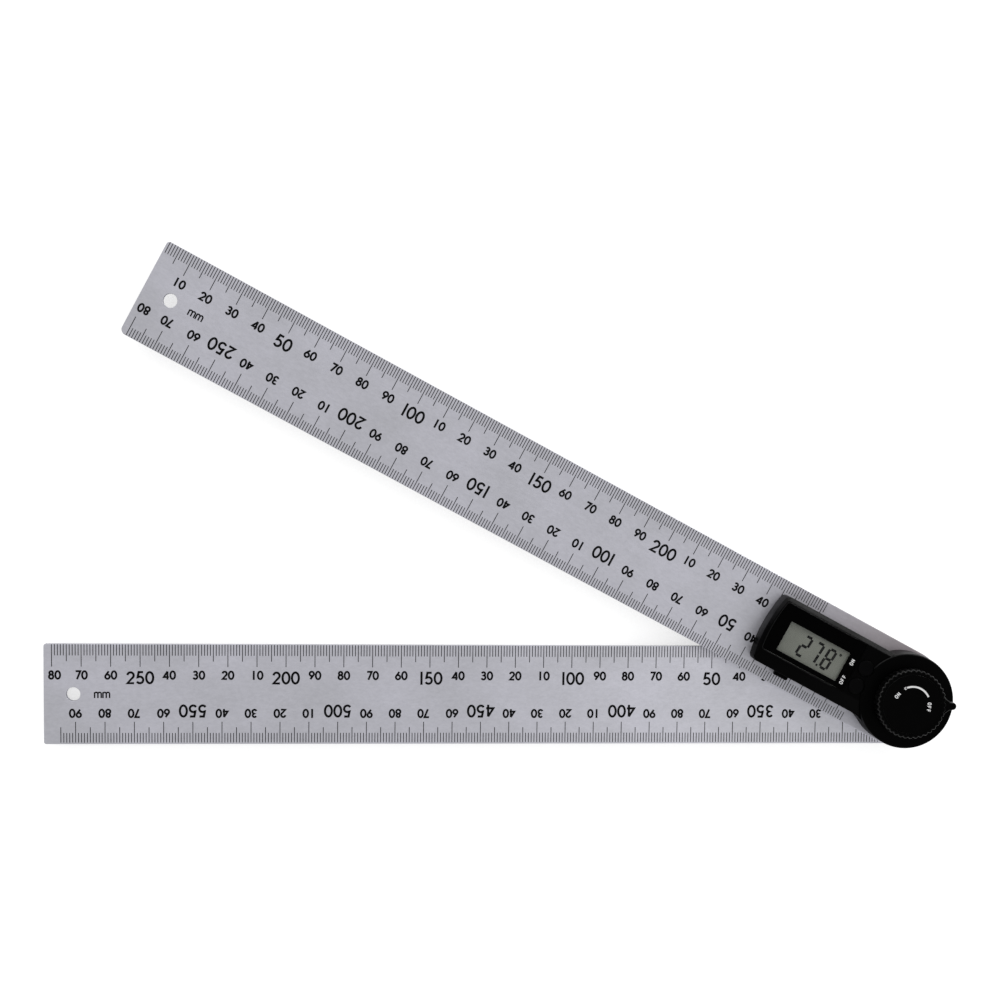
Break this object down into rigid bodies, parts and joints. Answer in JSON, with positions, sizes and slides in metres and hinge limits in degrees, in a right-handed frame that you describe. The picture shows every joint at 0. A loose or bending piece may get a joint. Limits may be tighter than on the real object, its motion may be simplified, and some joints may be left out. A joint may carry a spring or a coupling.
{
  "type": "digital angle finder",
  "caption": "Digital angle finder: a graduated steel arm turns on a pivot under a second one that carries a display housing, push buttons, a battery tray and a lock knob with a pointer.",
  "frame": {"origin": "on the pivot axis, in the back face of the rear cover", "axes": "-X along the display arm from the pivot to its tip, +Z out of the face that carries the display"},
  "size_m": [0.3175, 0.1726, 0.0191],
  "materials": {
    "steel": "satin brushed stainless steel with etched black graduations",
    "housing": "fine matt black ABS",
    "bezel": "polished black acrylic",
    "window": "clear acrylic",
    "lcd": "grey green liquid crystal glass",
    "rubber": "matt black silicone",
    "board": "green solder mask on glass fibre",
    "chip": "black epoxy",
    "nylon": "natural acetal",
    "brass": "turned brass",
    "zinc": "bright zinc or nickel plate"
  },
  "bodies": {
    "display_assembly": {"display_arm": "steel", "pivot_bush": "brass", "housing_shell": "housing", "housing_base_plate": "housing", "display_bezel": "bezel", "display_window": "window", "lcd_glass": "lcd", "zebra_strip": "rubber", "circuit_board": "board", "controller_chip": "chip", "board_header": "chip", "encoder_stator": "board", "hold_dome_switch": "zinc", "power_dome_switch": "zinc", "cell_top_contact": "zinc", "cell_side_contact": "zinc", "wave_washer": "zinc", "housing_screw_1": "zinc", "housing_screw_2": "zinc", "housing_screw_3": "zinc", "housing_screw_4": "zinc"},
    "rule_assembly": {"rule_arm": "steel", "rear_cover": "housing", "pivot_shaft": "zinc", "encoder_rotor": "board", "slide_washer": "nylon", "keeper_screw": "zinc", "cover_screw_1": "zinc", "cover_screw_2": "zinc", "cover_screw_3": "zinc"},
    "knob_assembly": {"lock_knob": "housing", "knob_cap": "housing", "knob_insert": "brass", "thrust_washer": "nylon"},
    "hold_key": {"hold_button": "rubber"},
    "power_key": {"power_button": "rubber"},
    "battery_drawer": {"battery_tray": "housing", "coin_cell": "zinc"}
  },
  "joints": [
    {"name": "arm_pivot", "type": "hinge", "parent": "display_assembly", "child": "rule_assembly", "pos_m": [0, 0, 0], "axis": [0, 0, 1], "continuous": true},
    {"name": "lock_knob_turn", "type": "hinge", "parent": "display_assembly", "child": "knob_assembly", "pos_m": [0, 0, 0], "axis": [0, 0, 1], "range_deg": [0, 97]},
    {"name": "hold_button_press", "type": "slide", "parent": "display_assembly", "child": "hold_key", "axis": [0, 0, -1], "range_m": [0, 0.0004], "stiffness_N_per_m": 1500},
    {"name": "power_button_press", "type": "slide", "parent": "display_assembly", "child": "power_key", "axis": [0, 0, -1], "range_m": [0, 0.0004], "stiffness_N_per_m": 1500},
    {"name": "battery_tray_slide", "type": "slide", "parent": "display_assembly", "child": "battery_drawer", "axis": [0, -1, 0], "range_m": [0, 0.024]}
  ]
}
